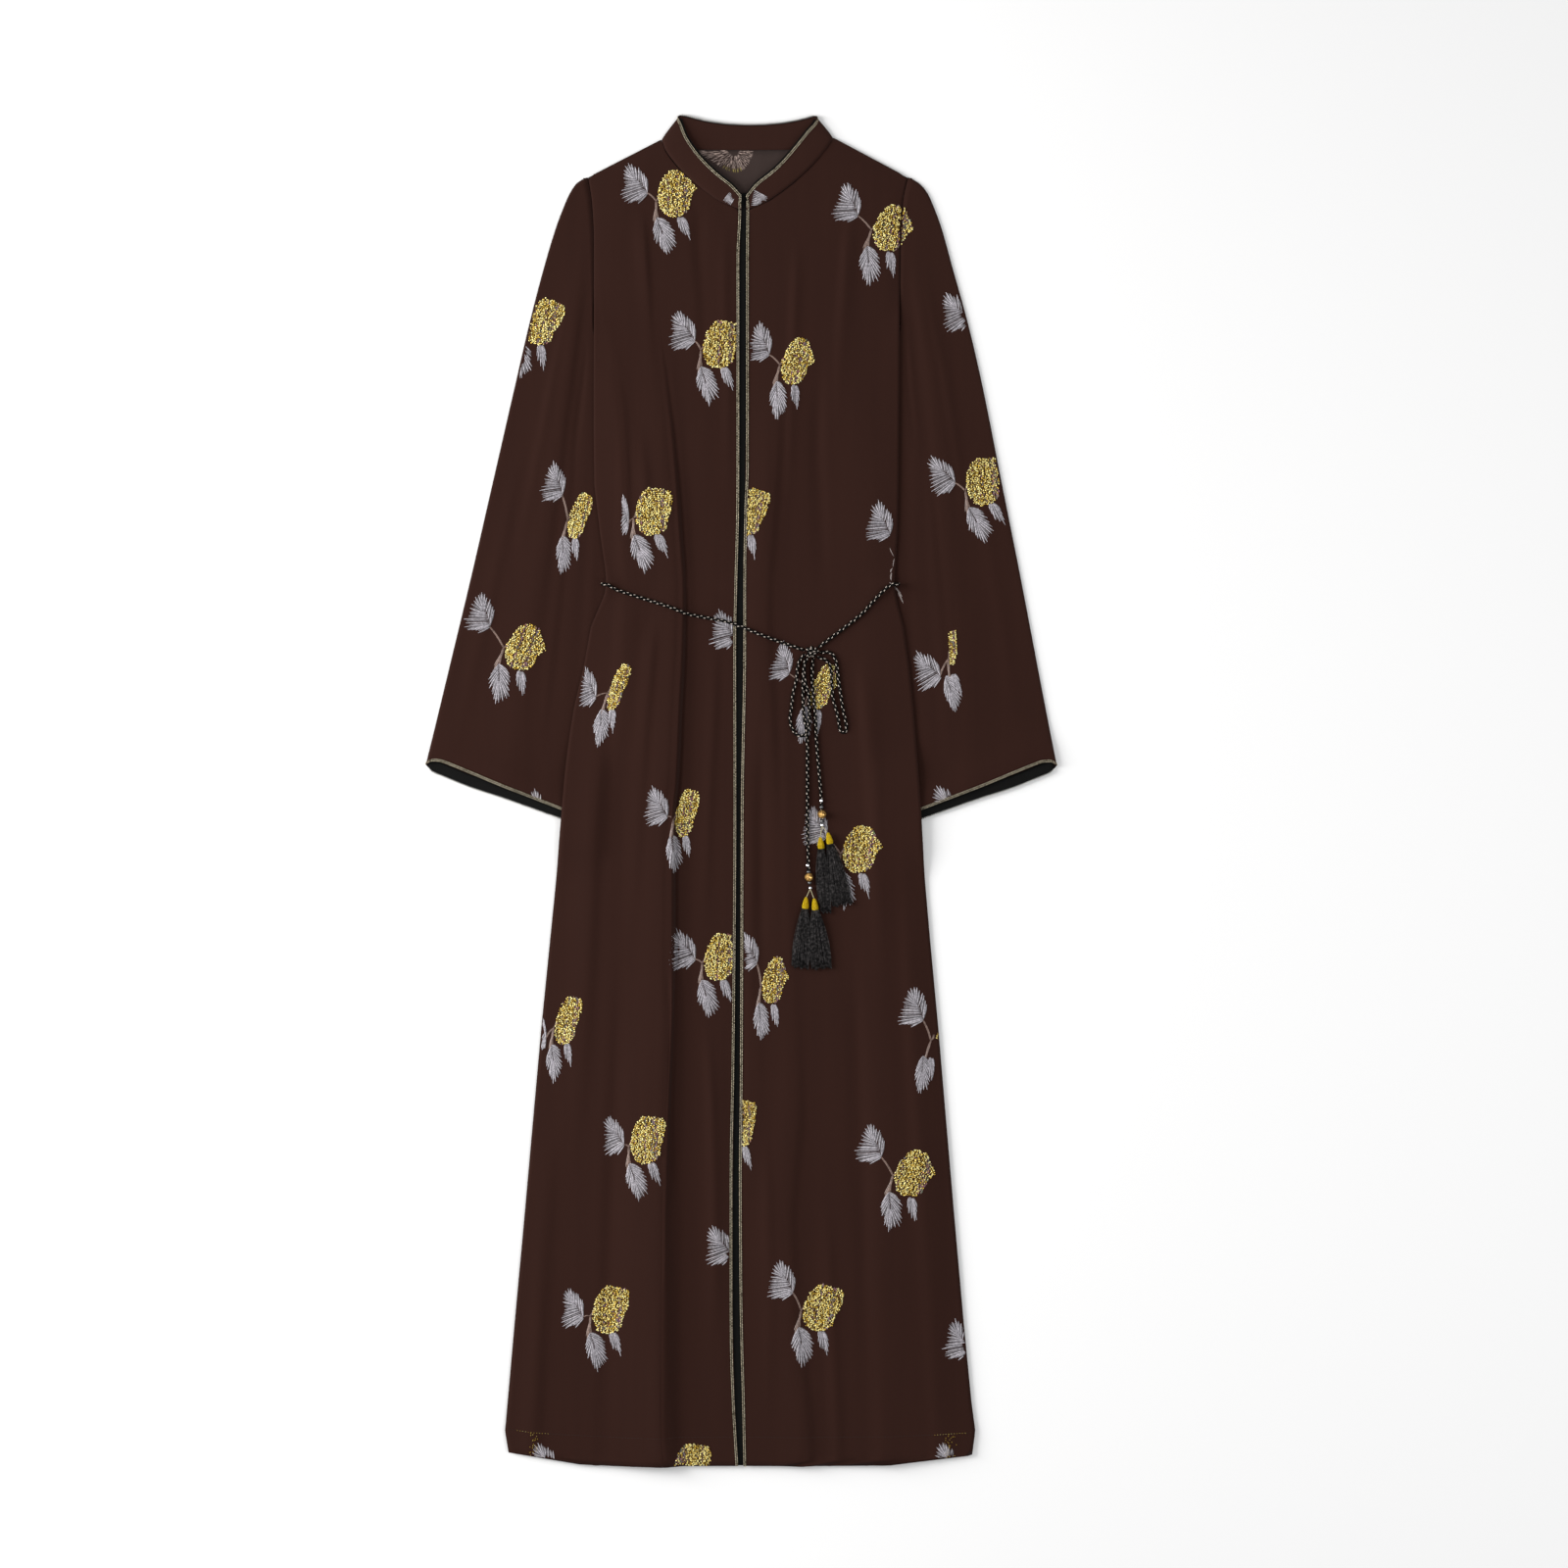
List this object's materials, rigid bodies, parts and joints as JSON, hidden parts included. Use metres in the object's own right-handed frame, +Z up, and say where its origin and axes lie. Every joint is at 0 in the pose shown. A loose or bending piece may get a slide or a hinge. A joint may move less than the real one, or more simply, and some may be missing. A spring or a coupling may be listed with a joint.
{
  "type": "abaya",
  "caption": "Long dark brown abaya with flared sleeves, stand collar, beaded edges, sequin sprigs and a tied cord belt with tassels, laid flat on its back.",
  "frame": {"origin": "centre of the bounding box at the surface that the garment lies on", "axes": "+Z up from the surface, +Y towards the collar, +X towards the wearer's left"},
  "size_m": [0.6836, 1.4573, 0.0175],
  "materials": {
    "crepe": "matt fine crepe, very dark brown",
    "black_facing": "matt black tape and facing cloth",
    "beaded_braid": "two rows of small pale gold beads on a narrow black tape",
    "belt_cord": "braided black cord with light metallic flecks",
    "gold_bead": "faceted, metallised gold",
    "tassel": "fine dark threads under a wrapped gold head"
  },
  "bodies": {
    "root": {"back": "crepe", "front_right": "crepe", "front_left": "crepe", "sleeve_right": "crepe", "sleeve_left": "crepe", "collar": "crepe", "front_tape": "black_facing", "cuff_facing_right": "black_facing", "cuff_facing_left": "black_facing", "edge_braid": "beaded_braid", "cuff_braid_right": "beaded_braid", "cuff_braid_left": "beaded_braid", "belt_waist": "belt_cord", "belt_knot": "belt_cord", "belt_loop_right": "belt_cord", "belt_loop_left": "belt_cord", "belt_tail_right": "belt_cord", "belt_tail_left": "belt_cord", "bead_right": "gold_bead", "bead_left": "gold_bead", "tassel_right_outer": "tassel", "tassel_right_inner": "tassel", "tassel_left_inner": "tassel", "tassel_left_outer": "tassel"}
  },
  "joints": []
}
